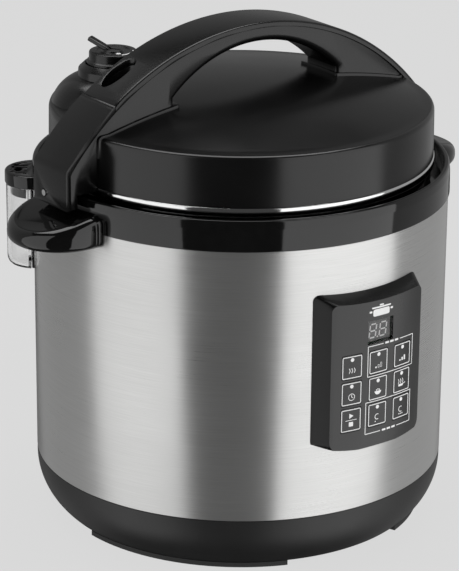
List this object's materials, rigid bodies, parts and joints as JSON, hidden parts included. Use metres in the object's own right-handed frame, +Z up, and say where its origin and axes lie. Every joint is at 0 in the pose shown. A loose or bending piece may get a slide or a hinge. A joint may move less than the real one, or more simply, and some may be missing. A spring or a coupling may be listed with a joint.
{
  "type": "electric pressure cooker",
  "caption": "Round electric pressure cooker with a twist-off lid, arched lid handle, release valve, side handles, curved front key panel, lift-out pot and drip cup.",
  "frame": {"origin": "centre of the body's footprint, on the plane its feet stand on", "axes": "+Z up; the control panel faces -Y; the side handles lie along X, the lid handle's long arm at -X"},
  "size_m": [0.348, 0.2881, 0.3295],
  "materials": {
    "matte_black": "satin-matte moulded plastic",
    "gloss_black": "glossy moulded plastic",
    "brushed_steel": "fine brushed round the body",
    "polished_steel": "polished stainless steel",
    "zinc_steel": "zinc-plated steel",
    "aluminium": "die-cast, satin",
    "silicone": "silicone rubber",
    "clear_plastic": "clear moulded plastic",
    "smoked_lens": "smoked clear plastic",
    "circuit_green": "solder-masked circuit board",
    "grey_plastic": "plain moulded plastic",
    "key_plastic": "satin key caps with pale outlines"
  },
  "bodies": {
    "housing": {"base_bowl": "matte_black", "base_plate": "matte_black", "base_screws": "zinc_steel", "support_posts": "zinc_steel", "feet": "silicone", "outer_sleeve": "brushed_steel", "collar": "gloss_black", "left_handle": "gloss_black", "right_handle": "gloss_black", "locking_pot": "aluminium", "pot_cradle": "zinc_steel", "heating_plate": "aluminium", "heating_element": "aluminium", "sensor_bracket": "zinc_steel", "sensor_spring": "zinc_steel", "pressure_switch": "grey_plastic", "thermal_fuse": "grey_plastic", "power_board": "circuit_green", "board_standoffs": "grey_plastic", "inlet_case": "matte_black", "inlet_pins": "zinc_steel", "panel_bezel": "matte_black", "display_lens": "smoked_lens", "display_module": "grey_plastic", "key_board": "circuit_green", "control_board": "circuit_green", "cup_bracket": "gloss_black"},
    "cooking_pot": {"inner_pot": "brushed_steel"},
    "seal": {"sealing_ring": "silicone"},
    "lid": {"inner_lid": "polished_steel", "lid_cover": "matte_black", "handle_arm": "matte_black", "handle_cover": "matte_black", "handle_web": "matte_black", "lid_screws": "zinc_steel", "valve_stem": "polished_steel", "valve_nut": "polished_steel", "valve_shield": "polished_steel", "valve_seat": "matte_black"},
    "release_knob": {"valve_knob": "matte_black"},
    "float": {"float_valve": "polished_steel", "float_gasket": "silicone"},
    "handle_pin": {"lock_pin": "polished_steel"},
    "sensor": {"sensor_cap": "aluminium"},
    "drip_cup": {"condensation_cup": "clear_plastic"},
    "key_warm": {"key_warm": "key_plastic"},
    "key_pressure_low": {"key_pressure_low": "key_plastic"},
    "key_pressure_high": {"key_pressure_high": "key_plastic"},
    "key_timer": {"key_timer": "key_plastic"},
    "key_rice": {"key_rice": "key_plastic"},
    "key_brown": {"key_brown": "key_plastic"},
    "key_start_stop": {"key_start_stop": "key_plastic"},
    "key_slow_low": {"key_slow_low": "key_plastic"},
    "key_slow_high": {"key_slow_high": "key_plastic"}
  },
  "joints": [
    {"name": "lid_lift", "type": "slide", "parent": "housing", "child": "seal", "axis": [0, 0, 1], "range_m": [0, 0.2]},
    {"name": "lid_turn", "type": "hinge", "parent": "seal", "child": "lid", "pos_m": [0, 0, 0.245], "axis": [0, 0, 1], "range_deg": [0, 30]},
    {"name": "pot_lift", "type": "slide", "parent": "housing", "child": "cooking_pot", "axis": [0, 0, 1], "range_m": [0, 0.1]},
    {"name": "valve_turn", "type": "hinge", "parent": "lid", "child": "release_knob", "pos_m": [-0.0668, 0.0487, 0.3], "axis": [0, 0, 1], "range_deg": [0, 60]},
    {"name": "float_rise", "type": "slide", "parent": "lid", "child": "float", "axis": [0, 0, 1], "range_m": [0, 0.005]},
    {"name": "pin_press", "type": "slide", "parent": "lid", "child": "handle_pin", "axis": [1, 0, 0], "range_m": [0, 0.003], "stiffness_N_per_m": 300},
    {"name": "sensor_press", "type": "slide", "parent": "housing", "child": "sensor", "axis": [0, 0, -1], "range_m": [0, 0.003], "stiffness_N_per_m": 800, "springref_m": -0.002, "deforming": ["sensor_spring"]},
    {"name": "cup_slide", "type": "slide", "parent": "housing", "child": "drip_cup", "axis": [0, 0, -1], "range_m": [0, 0.045]},
    {"name": "press_warm", "type": "slide", "parent": "housing", "child": "key_warm", "axis": [0.1444, 0.9895, 0], "range_m": [0, 0.0006], "stiffness_N_per_m": 800},
    {"name": "press_pressure_low", "type": "slide", "parent": "housing", "child": "key_pressure_low", "axis": [0.0087, 1, 0], "range_m": [0, 0.0006], "stiffness_N_per_m": 800},
    {"name": "press_pressure_high", "type": "slide", "parent": "housing", "child": "key_pressure_high", "axis": [-0.1288, 0.9917, 0], "range_m": [0, 0.0006], "stiffness_N_per_m": 800},
    {"name": "press_timer", "type": "slide", "parent": "housing", "child": "key_timer", "axis": [0.1444, 0.9895, 0], "range_m": [0, 0.0006], "stiffness_N_per_m": 800},
    {"name": "press_rice", "type": "slide", "parent": "housing", "child": "key_rice", "axis": [0.0087, 1, 0], "range_m": [0, 0.0006], "stiffness_N_per_m": 800},
    {"name": "press_brown", "type": "slide", "parent": "housing", "child": "key_brown", "axis": [-0.1288, 0.9917, 0], "range_m": [0, 0.0006], "stiffness_N_per_m": 800},
    {"name": "press_start_stop", "type": "slide", "parent": "housing", "child": "key_start_stop", "axis": [0.1444, 0.9895, 0], "range_m": [0, 0.0006], "stiffness_N_per_m": 800},
    {"name": "press_slow_low", "type": "slide", "parent": "housing", "child": "key_slow_low", "axis": [0.0087, 1, 0], "range_m": [0, 0.0006], "stiffness_N_per_m": 800},
    {"name": "press_slow_high", "type": "slide", "parent": "housing", "child": "key_slow_high", "axis": [-0.1288, 0.9917, 0], "range_m": [0, 0.0006], "stiffness_N_per_m": 800}
  ],
  "couplings": [
    {"joint": "pot_lift", "follows": "lid_lift", "ratio": 0.5}
  ]
}
